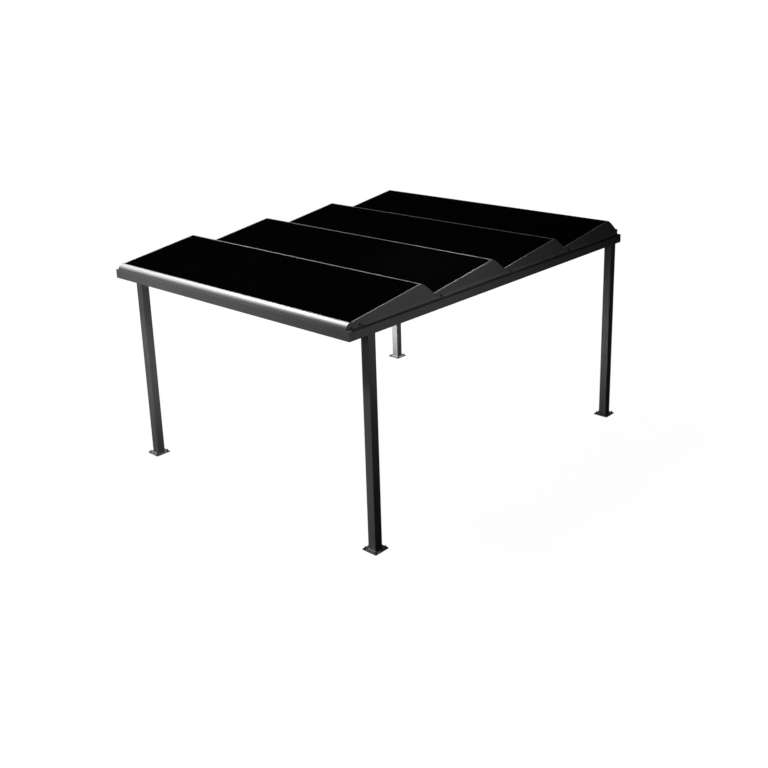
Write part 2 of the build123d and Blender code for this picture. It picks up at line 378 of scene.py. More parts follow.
# %% Rubber, plastic and black frames
frame_black = make_finish(
    "module_frame_black", tone=(0.0007, 0.0007, 0.0008), gloss=0.5, peel=0.02,
    wear=0.1, worn_tone=(0.002, 0.002, 0.002), dust=0.0, specular=0.0,
)
# The same black makes the beads at the nose's cheeks, where it paints the shadow under each cheek.
seal_black_and_shadow = make_finish(
    "seal_rubber_and_shadow", tone=(0.034, 0.034, 0.034), gloss=0.8, peel=0.5,
    wear=0.1, worn_tone=(0.05, 0.05, 0.05), dust=0.02, specular=0.25,
)
# The same black fills the drain slots, where it paints their shade.
joint_black_and_slot_shade = make_finish(
    "joint_rubber_and_slot_shade", tone=(0.0008, 0.0008, 0.0008), gloss=0.7, peel=0.1,
    wear=0.0, worn_tone=(0.001, 0.001, 0.001), dust=0.0, specular=0.0,
)
backsheet_grey = make_finish(
    "backsheet", tone=(0.16, 0.16, 0.165), gloss=0.55, peel=0.2,
    wear=0.0, worn_tone=(0.2, 0.2, 0.2), dust=0.0,
)
box_black = make_finish(
    "junction_plastic", tone=(0.014, 0.014, 0.015), gloss=0.5, peel=0.3,
    wear=0.1, worn_tone=(0.05, 0.05, 0.05), dust=0.02,
)
print("finishes:", [material.name for material in bpy.data.materials])

# %% [markdown]
# Rails and gutters are mill-finish aluminium, straight from the press. The die leaves fine lines that run
# along the bar, here along X. A noise that is squeezed across the bar and stretched along it gives those
# lines, and it moves the roughness and the relief together.

# %% Mill-finish aluminium
def make_mill_finish():
    material, tree, shader = new_material("mill_aluminium")
    lines = noise(tree, scale=40.0, detail=5.0, stretch=(0.03, 14, 14))
    stains = noise(tree, scale=5.0, detail=5.0)
    shader.inputs["Metallic"].default_value = 1.0
    tone = blend_colours(tree, lines, (0.40, 0.405, 0.41), (0.52, 0.52, 0.525))
    tone = blend_colours(tree, calculate(tree, "MULTIPLY", stains, 0.35), tone, (0.33, 0.33, 0.33))
    tree.links.new(tone, shader.inputs["Base Color"])
    rough = calculate(tree, "MULTIPLY_ADD", lines, 0.18, 0.30)
    tree.links.new(rough, shader.inputs["Roughness"])
    relief = add_node(tree, "ShaderNodeBump", Strength=0.15, Distance=0.2 * mm)
    tree.links.new(lines, relief.inputs["Height"])
    tree.links.new(relief.outputs[0], shader.inputs["Normal"])
    return material


mill_aluminium = make_mill_finish()
print("mill finish nodes:", len(mill_aluminium.node_tree.nodes))

# %% [markdown]
# The solar glass is the darkest thing in the picture: nearly black cells under low-iron glass. Close up,
# each cell shows a hair-thin gap around it and finer ribbons across it. The pattern is drawn from the
# pane's own UV map, counted in cells, so it lies square to the module whatever its tilt is.

# %% Solar glass
cells_across = 22
cells_up = 6
ribbons_per_cell = 3
gap_across = 0.018
gap_up = 0.009
ribbon_half_width = 0.012


def line_mask(tree, coordinate, repeats, half_width):
    wave = calculate(tree, "MULTIPLY", coordinate, float(repeats))
    saw = calculate(tree, "FRACT", wave)
    centred = calculate(tree, "ABSOLUTE", calculate(tree, "SUBTRACT", saw, 0.5))
    return calculate(tree, "GREATER_THAN", centred, 0.5 - half_width)


def make_solar_glass():
    material, tree, shader = new_material("solar_glass")
    uv = add_node(tree, "ShaderNodeUVMap", {"uv_map": "cells"})
    split = add_node(tree, "ShaderNodeSeparateXYZ")
    tree.links.new(uv.outputs[0], split.inputs[0])
    across = line_mask(tree, split.outputs["X"], 1, gap_across)
    up = line_mask(tree, split.outputs["Y"], 1, gap_up)
    gaps = calculate(tree, "MAXIMUM", across, up)
    ribbons = line_mask(tree, split.outputs["Y"], ribbons_per_cell, ribbon_half_width)
    lines = calculate(tree, "MAXIMUM", gaps, calculate(tree, "MULTIPLY", ribbons, 0.6))
    batch = noise(tree, scale=2.5, detail=2.0)
    cell = blend_colours(tree, batch, (0.0002, 0.0002, 0.0002), (0.0004, 0.0004, 0.0004))
    tone = blend_colours(tree, lines, cell, (0.0014, 0.0014, 0.0015))
    tree.links.new(tone, shader.inputs["Base Color"])
    rough = calculate(tree, "MULTIPLY_ADD", noise(tree, scale=14.0, detail=4.0), 0.04, 0.03)
    tree.links.new(rough, shader.inputs["Roughness"])
    shader.inputs["Specular IOR Level"].default_value = 0.01
    return material


solar_glass = make_solar_glass()
print("cells on a module:", cells_across * cells_up)

# %% [markdown]
# The engineering model's own nodes take these finishes in their material slots. Their shapes stay as they
# are. What isn't in the list by the start of its name gets the anthracite coat.

# %% Dress the nodes
finish_by_start = {
    "solar_module_": frame_black,
    "base_plate_": foot_coat,
    "valley_gutter_": mill_aluminium,
    "front_rail": mill_aluminium,
    "ridge_rails": mill_aluminium,
    "left_seal": seal_black_and_shadow,
    "right_seal": seal_black_and_shadow,
    "front_nose": nose_coat,
}


def finish_of(name):
    fitting = [finish for start, finish in finish_by_start.items() if name.startswith(start)]
    return fitting[0] if fitting else anthracite


for name, node in nodes.items():
    for slot in node.material_slots:
        slot.material = finish_of(name)
print("coated in anthracite:", sum(finish_of(name) is anthracite for name in nodes))

# %% [markdown]
# A module lies tilted, so its box alone doesn't give its plane. The box is as deep as the module's length
# and thickness together allow: depth = L cos t + T sin t, and height = L sin t + T cos t. With the
# thickness T known, a few rounds of the tangent find the tilt t. From it comes a local plane for each
# module, with x across, y up the slope and z out of the glass, and all its small parts are drawn flat in
# it.

# %% Find each module's plane
module_thickness = 30 * mm
tilt_rounds = 8


def module_plane(name):
    low, high = (Vector(corner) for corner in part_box(name))
    size = high - low
    tilt = 0.0
    for _ in range(tilt_rounds):
        rise = size.z - module_thickness * math.cos(tilt)
        run = size.y - module_thickness * math.sin(tilt)
        tilt = math.atan2(rise, run)
    length = run / math.cos(tilt)
    corner = Vector((low.x, low.y, low.z + module_thickness * math.cos(tilt)))
    return Matrix.Translation(corner) @ Matrix.Rotation(tilt, 4, "X"), size.x, length


plane, module_width, module_length = module_plane(module_names[0])
print("module:", round(module_width, 4), "by", round(module_length, 4))
print("tilt in degrees:", round(math.degrees(plane.to_euler().x), 2))

# %% [markdown]
# The pane is a sheet of glass inside the module's black lip. It is a thin block with broken edges, and
# its UV map counts the cells. The outer edge of a module is under the side plate's flange, so the pane
# and the lip both keep inside that flange.

# %% Glass panes
pane_rise = 0.6 * mm
pane_rounding = 0.2 * mm
lip_width = 9 * mm
flange_cover = 11 * mm
ridge_cover = 9 * mm
roof_edge = 200 * mm


def pane_limits(name, width, length):
    """Left, front, right and rear limits of what shows of a module, in its own plane."""
    outer_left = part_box(name)[0][0] < cad_low[0] + roof_edge
    outer_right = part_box(name)[1][0] > cad_high[0] - roof_edge
    left = flange_cover if outer_left else 0.0
    right = width - (flange_cover if outer_right else 0.0)
    return left, 0.0, right, length - ridge_cover


def make_pane(name):
    plane, width, length = module_plane(name)
    left, front, right, rear = pane_limits(name, width, length)
    work = bmesh.new()
    low = (left + lip_width / 2, front + lip_width / 2, -bite)
    high = (right - lip_width / 2, rear - lip_width / 2, pane_rise)
    verts = add_block(work, low, high)
    round_edges(work, edges_of(verts), pane_rounding, 1)
    cells = work.loops.layers.uv.new("cells")
    for face in work.faces:
        for loop in face.loops:
            across = (loop.vert.co.x - low[0]) / (high[0] - low[0])
            up = (loop.vert.co.y - low[1]) / (high[1] - low[1])
            loop[cells].uv = (across * cells_across, up * cells_up)
    bmesh.ops.transform(work, matrix=plane, verts=work.verts)
    return finish_piece(name.replace("solar_module", "solar_pane"), work, solar_glass)


panes = [make_pane(name) for name in module_names]
print("panes:", len(panes), "of", [round(v, 3) for v in panes[0].dimensions])

# %% [markdown]
# The lip is the top edge of the module's frame: a narrow black ring that laps over the glass. It could be
# four bars, but then the corners would need mitres. Here one face is inset, which leaves a ring of four
# faces around a middle one. The middle is deleted, and the ring is extruded down into the module.

# %% Module lips
lip_height = 1.6 * mm


def make_lip(name):
    plane, width, length = module_plane(name)
    left, front, right, rear = pane_limits(name, width, length)
    work = bmesh.new()
    size = Matrix.Diagonal((right - left, rear - front, 1, 1))
    middle = Matrix.Translation(((left + right) / 2, (front + rear) / 2, lip_height))
    bmesh.ops.create_grid(work, x_segments=1, y_segments=1, size=0.5, matrix=middle @ size)
    ring = inset_ring(work, lip_width)
    inner = [face for face in work.faces if face not in ring]
    bmesh.ops.delete(work, geom=inner, context="FACES_ONLY")
    wall = bmesh.ops.extrude_face_region(work, geom=work.faces[:])["geom"]
    bmesh.ops.translate(work, verts=only_points(wall), vec=(0, 0, -lip_height - bite))
    bmesh.ops.transform(work, matrix=plane, verts=work.verts)
    return finish_piece(name.replace("solar_module", "module_lip"), work, frame_black)


lips = [make_lip(name) for name in module_names]
print("lips:", len(lips), "faces each:", len(lips[0].data.polygons))

# %% [markdown]
# Under the glass, a module shows its backsheet, a thin plastic film. A thin block inside the module's rim
# stands for it, because a single face would have no back of its own.

# %% Backsheets
laminate_depth = 5 * mm
rim_width = 3 * mm
rim_clearance = 1 * mm
sheet_depth = 0.5 * mm


def make_backsheet(name):
    plane, width, length = module_plane(name)
    work = bmesh.new()
    margin = rim_width + rim_clearance
    low = (margin, margin, -laminate_depth - sheet_depth)
    high = (width - rim_width - rim_clearance, length - rim_width - rim_clearance, -laminate_depth + bite)
    add_block(work, low, high)
    bmesh.ops.transform(work, matrix=plane, verts=work.verts)
    return finish_piece(name.replace("solar_module", "backsheet"), work, backsheet_grey)


backsheets = [make_backsheet(name) for name in module_names]
print("backsheets:", len(backsheets), "of", [round(v, 3) for v in backsheets[0].dimensions])

# %% [markdown]
# On the backsheet sits a row of three small junction boxes, one for each string of cells. A box is a
# block whose lowest face is inset and pushed out a little, which gives the lid with its step.

# %% Junction boxes
box_width = 58 * mm
box_length = 34 * mm
box_depth = 14 * mm
box_bite = 0.1 * mm
box_rounding = 1.2 * mm
box_places = (0.2, 0.5, 0.8)
lid_rim = 4 * mm
lid_step = 2 * mm


def add_junction_box(work, x, y, top):
    low = (x - box_width / 2, y - box_length / 2, top - box_depth)
    verts = add_block(work, low, (x + box_width / 2, y + box_length / 2, top))
    faces = {face for vert in verts for face in vert.link_faces}
    lid = min(faces, key=lambda face: face.calc_center_median().z)
    bmesh.ops.inset_region(work, faces=[lid], thickness=lid_rim)
    bmesh.ops.translate(work, verts=lid.verts[:], vec=(0, 0, -lid_step))
    round_edges(work, edges_of(verts), box_rounding)


def make_junction_boxes(name):
    plane, width, length = module_plane(name)
    work = bmesh.new()
    top = -laminate_depth - sheet_depth + box_bite
    for share in box_places:
        add_junction_box(work, width * share, length / 2, top)
    bmesh.ops.transform(work, matrix=plane, verts=work.verts)
    return finish_piece(name.replace("solar_module", "junction_boxes"), work, box_black)


junction_boxes = [make_junction_boxes(name) for name in module_names]
print("junction boxes:", len(box_places) * len(junction_boxes))

# %% [markdown]
# The gap between the two modules of a row is closed by a black rubber strip, or rain would fall through
# it. The strip is a T: a stem in the gap and a low cap over the two lips. Only the two upper edges along
# the cap are rounded, because the lower ones lie on the glass.

# %% Joint strips
strip_cap_width = 14 * mm
strip_cap_height = 1.2 * mm
strip_cap_rounding = 0.8 * mm
strip_depth = 12 * mm
strip_clearance = 0.2 * mm


def upper_long_edges(verts, height):
    long_edges = [edge for edge in edges_of(verts) if abs(edge.verts[0].co.y - edge.verts[1].co.y) > mm]
    return [edge for edge in long_edges if edge.verts[0].co.z > height]


def make_joint_strip(left_name, right_name):
    plane, width, length = module_plane(left_name)
    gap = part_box(right_name)[0][0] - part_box(left_name)[1][0]
    middle = width + gap / 2
    rear = length - ridge_cover
    work = bmesh.new()
    stem_low = (middle - gap / 2 + strip_clearance, 0, -strip_depth)
    add_block(work, stem_low, (middle + gap / 2 - strip_clearance, rear, lip_height))
    cap_low = (middle - strip_cap_width / 2, 0, lip_height)
    verts = add_block(work, cap_low, (middle + strip_cap_width / 2, rear, lip_height + strip_cap_height))
    round_edges(work, upper_long_edges(verts, lip_height + bite), strip_cap_rounding)
    bmesh.ops.transform(work, matrix=plane, verts=work.verts)
    return finish_piece(left_name.replace("solar_module", "joint_strip")[:-2], work, joint_black_and_slot_shade)


strips = [make_joint_strip(*pair) for pair in zip(row_starts, row_ends)]
print("joint strips:", [strip.name for strip in strips])

# %% [markdown]
# The front nose is what catches the light: a quarter round along the whole front. In the engineering
# model its arc is a handful of facets. Here it is spun instead. A short line across the wall is swept a
# quarter turn around the nose's axis, which gives a smooth round wall, and the wall is closed with a
# floor and a back.

# %% Front nose
nose_low, nose_high = (Vector(corner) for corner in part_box("front_nose"))
nose_wall = 3 * mm
nose_steps = 28
nose_back_drop = 0.05 * mm


def make_nose():
    work = bmesh.new()
    axis_point = Vector((nose_low.x, nose_high.y, nose_low.z))
    outer = work.verts.new((nose_low.x, nose_low.y, nose_low.z))
    inner = work.verts.new((nose_low.x, nose_low.y + nose_wall, nose_low.z))
    start = work.edges.new((outer, inner))
    bmesh.ops.spin(
        work, geom=[outer, inner, start], cent=axis_point, axis=(1, 0, 0), angle=-math.radians(90),
        steps=nose_steps, use_merge=False, use_duplicate=False,
    )
    far = bmesh.ops.extrude_face_region(work, geom=work.faces[:])["geom"]
    bmesh.ops.translate(work, verts=only_points(far), vec=(nose_high.x - nose_low.x, 0, 0))
    floor_low = (nose_low.x, nose_low.y + nose_wall / 2, nose_low.z)
    add_block(work, floor_low, (nose_high.x, nose_high.y, nose_low.z + nose_wall))
    back_low = (nose_low.x, nose_high.y - nose_wall, nose_low.z + nose_wall)
    add_block(work, back_low, (nose_high.x, nose_high.y, nose_high.z - nose_back_drop))
    piece = finish_piece("nose_profile", work, nose_coat)
    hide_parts("front_nose")
    return piece


nose = make_nose()
print("nose:", [round(v, 3) for v in nose.dimensions], "faces:", len(nose.data.polygons))

# %% [markdown]
# Each base plate is held down by four anchors: a threaded rod out of the ground, a washer and a nut. Rod
# and washer are turned on the lathe helper. The rod's profile zigzags in and out by the depth of its
# thread, so the thread is real geometry. The nut is a six-sided prism whose upper edges are rounded down.

# %% Parts of an anchor
rod_radius = 6 * mm
rod_steps = 20
thread_pitch = 1.75 * mm
thread_depth = 0.9 * mm
washer_radius = 12 * mm
washer_height = 2.5 * mm
washer_rounding = 0.5 * mm
washer_steps = 32
nut_radius = 10.9 * mm
nut_height = 10 * mm
nut_rounding = 1.2 * mm


def add_rod(work, place, height):
    half_turns = int(height / (thread_pitch / 2))
    zigzag = [(rod_radius - thread_depth * (n % 2), n * thread_pitch / 2) for n in range(half_turns + 1)]
    spin_profile(work, [(0, 0), *zigzag, (0, zigzag[-1][1])], place, rod_steps)


def add_washer(work, place):
    profile = [
        (0, 0), (washer_radius, 0), (washer_radius, washer_height - washer_rounding),
        (washer_radius - washer_rounding, washer_height), (0, washer_height),
    ]
    spin_profile(work, profile, place, washer_steps)


def add_nut(work, place):
    top = place.translation.z + nut_height
    verts = bmesh.ops.create_cone(
        work, cap_ends=True, segments=6, radius1=nut_radius, radius2=nut_radius, depth=nut_height,
        matrix=place @ Matrix.Translation((0, 0, nut_height / 2)),
    )["verts"]
    rim = [edge for edge in edges_of(verts) if all(vert.co.z > top - bite for vert in edge.verts)]
    round_edges(work, rim, nut_rounding)


print("threads to the centimetre:", round(10 * mm / thread_pitch, 1))

# %% [markdown]
# The four anchors stand where the plate has its holes. The rod starts a millimetre over the ground,
# inside the hole, and its end stands above the nut.

# %% Anchor bolts
anchor_reach = 72 * mm
rod_stand = 15 * mm
rod_foot = 1 * mm


def make_anchors(plate_name):
    low, high = (Vector(corner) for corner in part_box(plate_name))
    middle = (low + high) / 2
    rod_top = high.z + washer_height + nut_height + rod_stand
    work = bmesh.new()
    for side_x in (-1, 1):
        for side_y in (-1, 1):
            away = Vector((side_x * anchor_reach, side_y * anchor_reach, 0))
            spot = Matrix.Translation(Vector((middle.x, middle.y, 0)) + away)
            add_washer(work, spot @ Matrix.Translation((0, 0, high.z)))
            add_nut(work, spot @ Matrix.Translation((0, 0, high.z + washer_height)))
            add_rod(work, spot @ Matrix.Translation((0, 0, rod_foot)), rod_top - rod_foot)
    return finish_piece(plate_name.replace("base_plate", "anchors"), work, bolt_coat)


anchors = [make_anchors(name) for name in plate_names]
print("anchors:", 4 * len(anchors), "faces on one plate:", len(anchors[0].data.polygons))

# %% [markdown]
# A weld runs round each post where it stands on its plate. It starts as a square face round the post,
# with rounded corners and its sides cut into short pieces. An inset leaves a ring, whose inner edge is
# pushed up into a slope. Every second point of the outer edge is swollen a little, which gives the scales
# that a welding torch leaves. The ring is then extruded down into the plate, so that it is a closed bead.

# %% Foot welds
weld_leg = 6 * mm
weld_spread = 0.8 * weld_leg
weld_corner = 11 * mm
corner_segments = 5
long_side = 20 * mm
weld_scales = 30
scale_swell = 0.7 * mm


def make_weld(post_name):
    low, high = (Vector(corner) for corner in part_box(post_name))
    centre = Vector(((low.x + high.x) / 2, (low.y + high.y) / 2, low.z))
    half = (high.x - low.x) / 2 + weld_spread
    work = bmesh.new()
    bmesh.ops.create_grid(work, x_segments=1, y_segments=1, size=half, matrix=Matrix.Translation(centre))
    bmesh.ops.bevel(
        work, geom=work.verts[:], offset=weld_corner, segments=corner_segments, profile=0.5,
        affect="VERTICES", material=-1,
    )
    sides = [edge for edge in work.edges if edge.calc_length() > long_side]
    bmesh.ops.subdivide_edges(work, edges=sides, cuts=weld_scales)
    rim = work.verts[:]
    ring = inset_ring(work, weld_leg)
    middle = [face for face in work.faces if face not in ring]
    crest = {vert for face in middle for vert in face.verts}
    bmesh.ops.delete(work, geom=middle, context="FACES_ONLY")
    bmesh.ops.translate(work, verts=list(crest), vec=(0, 0, weld_leg))
    for vert in rim[::2]:
        vert.co += (vert.co - centre).normalized() * scale_swell
    for vert in only_points(bmesh.ops.extrude_face_region(work, geom=work.faces[:])["geom"]):
        vert.co.z = low.z - bite
    return finish_piece(post_name.replace("post_", "foot_weld_"), work, anthracite)


welds = [make_weld(name) for name in post_names]
print("welds:", len(welds), "faces each:", len(welds[0].data.polygons))

# %% [markdown]
# At each foot of the side plates sits a small slanted slot, a drain for the gutter behind it. From
# outside the slots look black because they lie in shade, so each gets a black block that paints that
# shade: a thin block whose four corners are rounded until its ends are half circles. Without it, the
# bright ground would show through the slot.

# %% Painted shade in the slots
plate_sheet = 3 * mm
inner_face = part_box("right_nose_end")[0][0]
plate_face = inner_face + plate_sheet
beam_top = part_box("right_beam")[1][2]
half_rail = 20 * mm
slot_behind_foot = 92 * mm
slot_above_beam = 17 * mm
slot_set_in = 1.8 * mm
slot_size = (2.4 * mm, 10 * mm, 34 * mm)
slot_end_radius = 0.49 * slot_size[1]
slot_lean = math.radians(20)
foot_rails = ["front_rail", *named("valley_gutter_")]


def make_slot_shade_blocks(side_name, sign):
    work = bmesh.new()
    for rail_name in foot_rails:
        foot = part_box(rail_name)[1][1] - half_rail
        middle = (sign * (plate_face - slot_set_in), foot + slot_behind_foot, beam_top + slot_above_beam)
        place = Matrix.Translation(middle) @ Matrix.Rotation(slot_lean, 4, "X")
        shape = place @ Matrix.Diagonal((*slot_size, 1))
        verts = bmesh.ops.create_cube(work, size=1, matrix=shape)["verts"]
        corners = [edge for edge in edges_of(verts) if abs(edge.verts[0].co.x - edge.verts[1].co.x) > mm]
        round_edges(work, corners, slot_end_radius, 6)
    # This black block paints the shade inside the drain slot.
    return finish_piece(side_name + "_slot_painted_shade", work, joint_black_and_slot_shade)


slot_shade_blocks = [make_slot_shade_blocks("left", -1), make_slot_shade_blocks("right", 1)]
print("slot inserts:", len(slot_shade_blocks) * len(foot_rails))

# %% [markdown]
# The two rebates in the side beams end at the corner caps, and there a short black plug closes the seal.
# A bead of sealant runs along the foot of each cheek of the nose, and its dark also paints the shadow
# line that the cheek throws there. Both are blocks with broken edges: they are soft in the real carport,
# but too small to show more.

# %% Seal plugs and nose beads with painted shadow
beam_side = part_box("right_beam")[1][0]
plug_length = 16 * mm
plug_inner = 30 * mm
plug_outer = 3 * mm
plug_rise = 1 * mm
soft_rounding = 1 * mm
bead_size = (5 * mm, 7 * mm)


def make_seal_plugs(side_name, sign):
    work = bmesh.new()
    low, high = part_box(side_name + "_seal")
    for start, end in ((low[1], low[1] + plug_length), (high[1] - plug_length, high[1])):
        corner = (sign * (beam_side - plug_inner), start, low[2])
        verts = add_block(work, corner, (sign * (beam_side - plug_outer), end, high[2] + plug_rise))
        round_edges(work, edges_of(verts), soft_rounding, 1)
    return finish_piece(side_name + "_seal_plugs", work, joint_black_and_slot_shade)


def make_nose_shadow_bead(side_name, sign):
    low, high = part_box(side_name + "_nose_end")
    work = bmesh.new()
    corner = (sign * plate_face, low[1], beam_top)
    opposite = (sign * (plate_face + bead_size[0]), nose_high.y, beam_top + bead_size[1])
    verts = add_block(work, corner, opposite)
    round_edges(work, edges_of(verts), soft_rounding, 1)
    # The bead's dark stands for the shadow under the cheek as well as for sealant.
    return finish_piece(side_name + "_nose_shadow_bead", work, seal_black_and_shadow)


plugs = [make_seal_plugs("left", -1), make_seal_plugs("right", 1)]
nose_shadow_beads = [make_nose_shadow_bead("left", -1), make_nose_shadow_bead("right", 1)]
print("seal plugs:", 2 * len(plugs), "beads:", len(nose_shadow_beads))

# %% [markdown]
# Between the curved tail of a side plate and the next plate is a narrow seam, and daylight would show
# through it as a row of white slivers. A ribbon of black sealant fills it. Its line isn't drawn again: it
# is read from the points of the tail's own edge, so that it follows the curve exactly. The line is
# extruded back by the seam's width, and then outwards by the ribbon's depth.

# %% Seam seals
seam_width = 2 * mm
seam_depth = 2 * mm
seam_set_in = 2.5 * mm
seam_reach = 205 * mm
reading_slack = 0.05 * mm


def tail_edge(name, sign, start):
    """The upper edge of a tail behind start, from the points on the sheet's inner face."""
    edge = {}
    for vert in bpy.data.objects[name].data.vertices:
        inside = abs(vert.co.x - sign * inner_face) < reading_slack
        if inside and vert.co.y > start and vert.co.z > beam_top + mm:
            y = round(vert.co.y, 5)
            edge[y] = max(vert.co.z, edge.get(y, 0))
    return sorted(edge.items())


def make_seam_seals(side_name, sign):
    work = bmesh.new()
    tails = named(side_name + "_side_")[:-1]
    starts = [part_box(row_starts[0])[0][1], *(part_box(name)[1][1] - seam_reach for name in tails)]
    for name, start in zip([side_name + "_nose_end", *tails], starts):
        x = sign * (plate_face - seam_set_in)
        line = [work.verts.new((x, y, z)) for y, z in tail_edge(name, sign, start)]
        spans = [work.edges.new(pair) for pair in zip(line, line[1:])]
        ribbon = bmesh.ops.extrude_edge_only(work, edges=spans)["geom"]
        bmesh.ops.translate(work, verts=only_points(ribbon), vec=(0, seam_width, 0))
        faces = [item for item in ribbon if isinstance(item, bmesh.types.BMFace)]
        sheet = bmesh.ops.extrude_face_region(work, geom=faces, use_keep_orig=True)["geom"]
        bmesh.ops.translate(work, verts=only_points(sheet), vec=(sign * seam_depth, 0, 0))
        print(name, "seam points:", len(line))
    return finish_piece(side_name + "_seam_seals", work, joint_black_and_slot_shade)


seams = [make_seam_seals("left", -1), make_seam_seals("right", 1)]
print("seam seals:", [seam.name for seam in seams])

# %% [markdown]
# Under the roof, each ridge rail meets the side plates with an angle cleat and two dome-head screws. The
# cleat is bent sheet: one leg lies on the plate's inner face and the other under the rail. The screw is
# turned on the lathe helper, and its profile runs in at the top, which leaves the socket for the key.

# %% Rail cleats
cleat_sheet = 3 * mm
cleat_leg = 42 * mm
cleat_width = 36 * mm
cleat_rounding = 0.6 * mm
rail_before_ridge = 40 * mm
screw_radius = 5.5 * mm
screw_height = 2.8 * mm
screw_steps = 24
socket_radius = 2.4 * mm
screw_reach = 0.6 * cleat_leg


def add_screw(work, place):
    profile = [
        (0, 0), (screw_radius, 0), (0.95 * screw_radius, 0.45 * screw_height),
        (0.72 * screw_radius, 0.85 * screw_height), (socket_radius, screw_height),
        (socket_radius, 0.45 * screw_height), (0, 0.45 * screw_height),
    ]
    spin_profile(work, profile, place, screw_steps)


def make_cleats(side_name, sign):
    work = bmesh.new()
    rail_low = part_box("ridge_rails")[0][2]
    near = sign * inner_face
    bend = near - sign * cleat_sheet
    for name in row_starts:
        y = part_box(name)[1][1] - rail_before_ridge
        legs = ((bend, near, rail_low - cleat_leg), (near - sign * cleat_leg, bend, rail_low - cleat_sheet))
        for x_one, x_two, z_low in legs:
            corner = (x_one, y - cleat_width / 2, z_low)
            verts = add_block(work, corner, (x_two, y + cleat_width / 2, rail_low))
            round_edges(work, edges_of(verts), cleat_rounding, 1)
        on_plate = Matrix.Translation((bend, y, rail_low - screw_reach))
        add_screw(work, on_plate @ Matrix.Rotation(-sign * math.radians(90), 4, "Y"))
        under_rail = Matrix.Translation((near - sign * screw_reach, y, rail_low - cleat_sheet))
        add_screw(work, under_rail @ Matrix.Rotation(math.radians(180), 4, "X"))
    return finish_piece(side_name + "_rail_cleats", work, zinc)


cleats = [make_cleats("left", -1), make_cleats("right", 1)]
print("faces of the cleats:", [len(piece.data.polygons) for piece in cleats])

# %% [markdown]
# The floor is pale and plain. To the camera it glows almost white by itself, so that it melts into the
# white around it, and the little that it reflects of the lamps is what the carport's shadow takes away.
# The glow grows towards the rim, so that no horizon shows. To all other rays the floor is dark, or it
# would throw light up into the roof that the product picture doesn't have.

# %% Floor
floor_reach = 60.0
floor_grey = 0.05
glow_near = 0.975
glow_far = 1.0
glow_start = 3.0
glow_end = 9.0


def choose_for_camera(tree, for_light, for_camera, output):
    """Shows one shader to the camera and the other to all other rays."""
    path = add_node(tree, "ShaderNodeLightPath")
    pick = add_node(tree, "ShaderNodeMixShader")
    tree.links.new(path.outputs["Is Camera Ray"], pick.inputs[0])
    tree.links.new(for_light.outputs[0], pick.inputs[1])
    tree.links.new(for_camera.outputs[0], pick.inputs[2])
    tree.links.new(pick.outputs[0], output.inputs["Surface"])


def make_floor_finish():
    material, tree, shader = new_material("pale_floor")
    shader.inputs["Base Color"].default_value = (floor_grey, floor_grey, floor_grey, 1)
    shader.inputs["Roughness"].default_value = 0.9
    shader.inputs["Specular IOR Level"].default_value = 0.0
    place = add_node(tree, "ShaderNodeTexCoord")
    distance = add_node(tree, "ShaderNodeVectorMath", {"operation": "LENGTH"})
    tree.links.new(place.outputs["Object"], distance.inputs[0])
    ramp = add_node(
        tree, "ShaderNodeMapRange", {"interpolation_type": "SMOOTHSTEP"},
        From_Min=glow_start, From_Max=glow_end, To_Min=glow_near, To_Max=glow_far,
    )
    tree.links.new(distance.outputs["Value"], ramp.inputs["Value"])
    glow = add_node(tree, "ShaderNodeEmission", Color=(1, 1, 1, 1))
    tree.links.new(ramp.outputs[0], glow.inputs["Strength"])
    total = add_node(tree, "ShaderNodeAddShader")
    tree.links.new(shader.outputs[0], total.inputs[0])
    tree.links.new(glow.outputs[0], total.inputs[1])
    choose_for_camera(tree, shader, total, tree.nodes["Material Output"])
    return material


def make_floor():
    work = bmesh.new()
    bmesh.ops.create_grid(work, x_segments=4, y_segments=4, size=floor_reach)
    mesh = bpy.data.meshes.new("floor")
    work.to_mesh(mesh)
    work.free()
    floor = bpy.data.objects.new("floor", mesh)
    bpy.context.scene.collection.objects.link(floor)
    mesh.materials.append(make_floor_finish())
    return floor


floor = make_floor()
print("floor in metres:", [round(v) for v in floor.dimensions])

# %% [markdown]
# The world is white where the camera looks past the floor, and nearly dark for the light that falls on
# the carport, so that the black glass stays black.

# %% World
ambient = 0.02


def make_world():
    world = bpy.data.worlds.new("studio")
    bpy.context.scene.world = world
    world.use_nodes = True
    tree = world.node_tree
    dim = tree.nodes["Background"]
    dim.inputs["Color"].default_value = (1, 1, 1, 1)
    dim.inputs["Strength"].default_value = ambient
    white = add_node(tree, "ShaderNodeBackground", Color=(1, 1, 1, 1), Strength=1.0)
    choose_for_camera(tree, dim, white, tree.nodes["World Output"])
    return world


world = make_world()
print("world:", world.name, "ambient light:", ambient)

# %% [markdown]
# The lamps are soft boxes, and each has one job. A line gives a lamp's place, the point it looks at, its
# power in watts, its width and its height. Most give only matt light. A few give only reflections, so
# that a bright band can be drawn where it is wanted without changing any shade.

# %% A soft box
def add_lamp(name, place, target, power, width, height, spread=180, reflected=False):
    data = bpy.data.lights.new(name, "AREA")
    data.shape = "RECTANGLE"
    data.size = width
    data.size_y = height
    data.energy = power
    data.spread = math.radians(spread)
    lamp = bpy.data.objects.new(name, data)
    lamp.location = place
    lamp.rotation_euler = (Vector(target) - Vector(place)).to_track_quat("-Z", "Y").to_euler()
    lamp.visible_camera = False
    lamp.visible_diffuse = not reflected
    lamp.visible_glossy = reflected
    bpy.context.scene.collection.objects.link(lamp)
    return lamp


# %% [markdown]
# The first three shade the coated faces from light at the front left to dark at the rear right. One
# stands low and far in front, one at the left, and the high one draws the beam's short shadow on the
# front posts.

